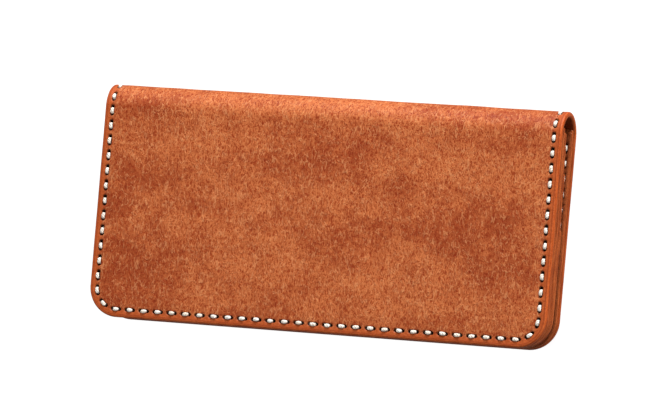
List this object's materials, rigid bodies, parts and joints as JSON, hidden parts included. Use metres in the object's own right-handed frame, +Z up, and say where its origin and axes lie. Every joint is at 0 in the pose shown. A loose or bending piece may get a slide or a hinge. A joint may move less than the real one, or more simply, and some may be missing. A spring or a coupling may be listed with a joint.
{
  "type": "long wallet",
  "caption": "Hand-stitched leather bifold long wallet with bill pockets, stepped card pockets and a zipped coin pocket, folding along one long edge.",
  "frame": {"origin": "middle of the wallet's footprint, on the surface that the back cover lies on", "axes": "+X along the fold, +Y from the open edge to the fold, +Z up out of the front cover"},
  "size_m": [0.192, 0.0932, 0.019],
  "materials": {
    "cover_leather": "mottled vegetable-tanned leather, lightly waxed, burnished edges",
    "inner_leather": "smooth vegetable-tanned leather, burnished edges",
    "thread": "waxed linen thread, cream",
    "zipper_tape": "woven tape, dark brown",
    "brass": "polished"
  },
  "bodies": {
    "back_half": {"cover_back": "cover_leather", "coin_pocket_rear_panel": "inner_leather", "coin_pocket_panel": "inner_leather", "zipper_tape_upper": "zipper_tape", "zipper_tape_lower": "zipper_tape", "zipper_teeth_upper": "brass", "zipper_teeth_lower": "brass", "zipper_stops": "brass", "zipper_thread": "thread", "seam_thread_back": "thread"},
    "spine_lower": {"cover_spine_lower": "cover_leather", "seam_thread_spine_lower": "thread"},
    "spine_upper": {"cover_spine_upper": "cover_leather", "seam_thread_spine_upper": "thread"},
    "front_half": {"cover_front": "cover_leather", "bill_divider": "inner_leather", "note_divider": "inner_leather", "card_base_panel": "inner_leather", "card_pocket_1": "inner_leather", "card_pocket_2": "inner_leather", "card_pocket_3": "inner_leather", "card_pocket_4": "inner_leather", "card_pocket_thread": "thread", "seam_thread_front": "thread"},
    "zipper_slider": {"zipper_slider": "brass"},
    "zipper_pull": {"zipper_pull": "brass"}
  },
  "joints": [
    {"name": "fold_lower", "type": "hinge", "parent": "back_half", "child": "spine_lower", "pos_m": [0, 0.04143, 0.00189], "axis": [-1, 0, 0], "range_deg": [0, 60.3]},
    {"name": "fold_middle", "type": "hinge", "parent": "spine_lower", "child": "spine_upper", "pos_m": [0, 0.0458, 0.00958], "axis": [-1, 0, 0], "range_deg": [0, 60.3]},
    {"name": "fold_upper", "type": "hinge", "parent": "spine_upper", "child": "front_half", "pos_m": [0, 0.04128, 0.01719], "axis": [-1, 0, 0], "range_deg": [0, 60.3]},
    {"name": "zipper_slide", "type": "slide", "parent": "back_half", "child": "zipper_slider", "axis": [-1, 0, 0], "range_m": [0, 0.138]},
    {"name": "pull_pivot", "type": "hinge", "parent": "zipper_slider", "child": "zipper_pull", "pos_m": [0.0776, 0.02044, 0.0074], "axis": [0, 0.9999, 0.012], "range_deg": [0, 3.5]}
  ],
  "couplings": [
    {"joint": "fold_middle", "follows": "fold_lower", "ratio": 1},
    {"joint": "fold_upper", "follows": "fold_lower", "ratio": 1}
  ]
}
